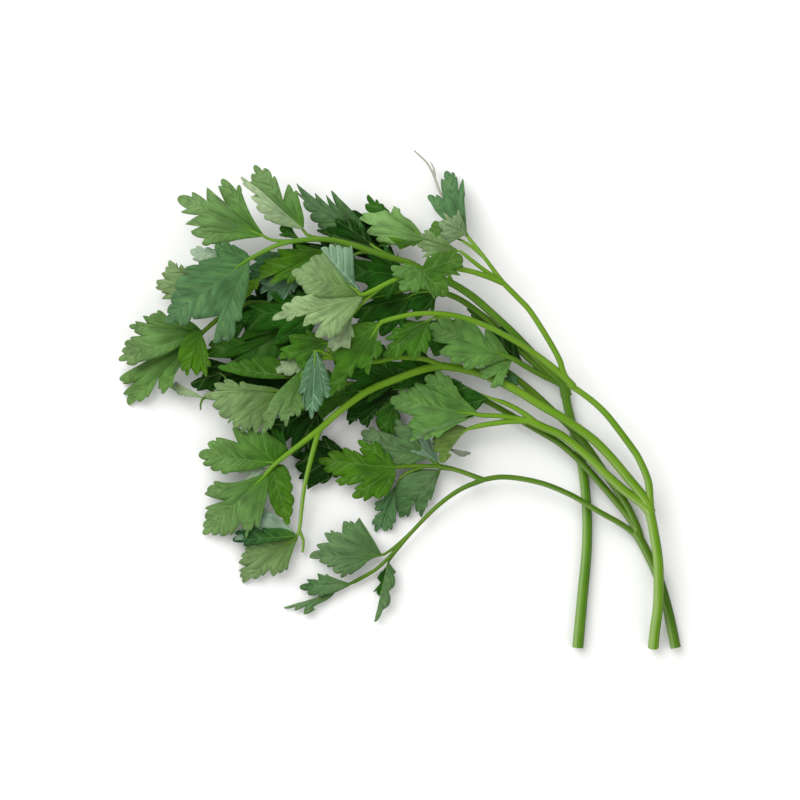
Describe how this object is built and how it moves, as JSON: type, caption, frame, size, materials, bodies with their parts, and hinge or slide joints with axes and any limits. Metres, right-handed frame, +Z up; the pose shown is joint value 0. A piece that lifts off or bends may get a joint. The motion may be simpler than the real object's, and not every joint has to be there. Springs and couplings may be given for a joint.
{
  "type": "parsley bunch",
  "caption": "Cut bunch of flat-leaf parsley lying on a table: curved green stems at one end, toothed three-lobed leaflets heaped at the other.",
  "frame": {"origin": "on the table, under the middle of the bunch's box", "axes": "+X towards the side of the cut stems, away from the leaf heap; +Y across the table, away from the cut stem ends; +Z up off the table"},
  "size_m": [0.225, 0.2009, 0.0407],
  "materials": {
    "parsley_left": "waxy leaf, slightly glossy",
    "parsley_front": "waxy leaf, slightly glossy",
    "parsley_right": "waxy leaf, slightly glossy"
  },
  "bodies": {
    "root": {"frond_left": "parsley_left", "frond_front": "parsley_front", "frond_right": "parsley_right"}
  },
  "joints": []
}
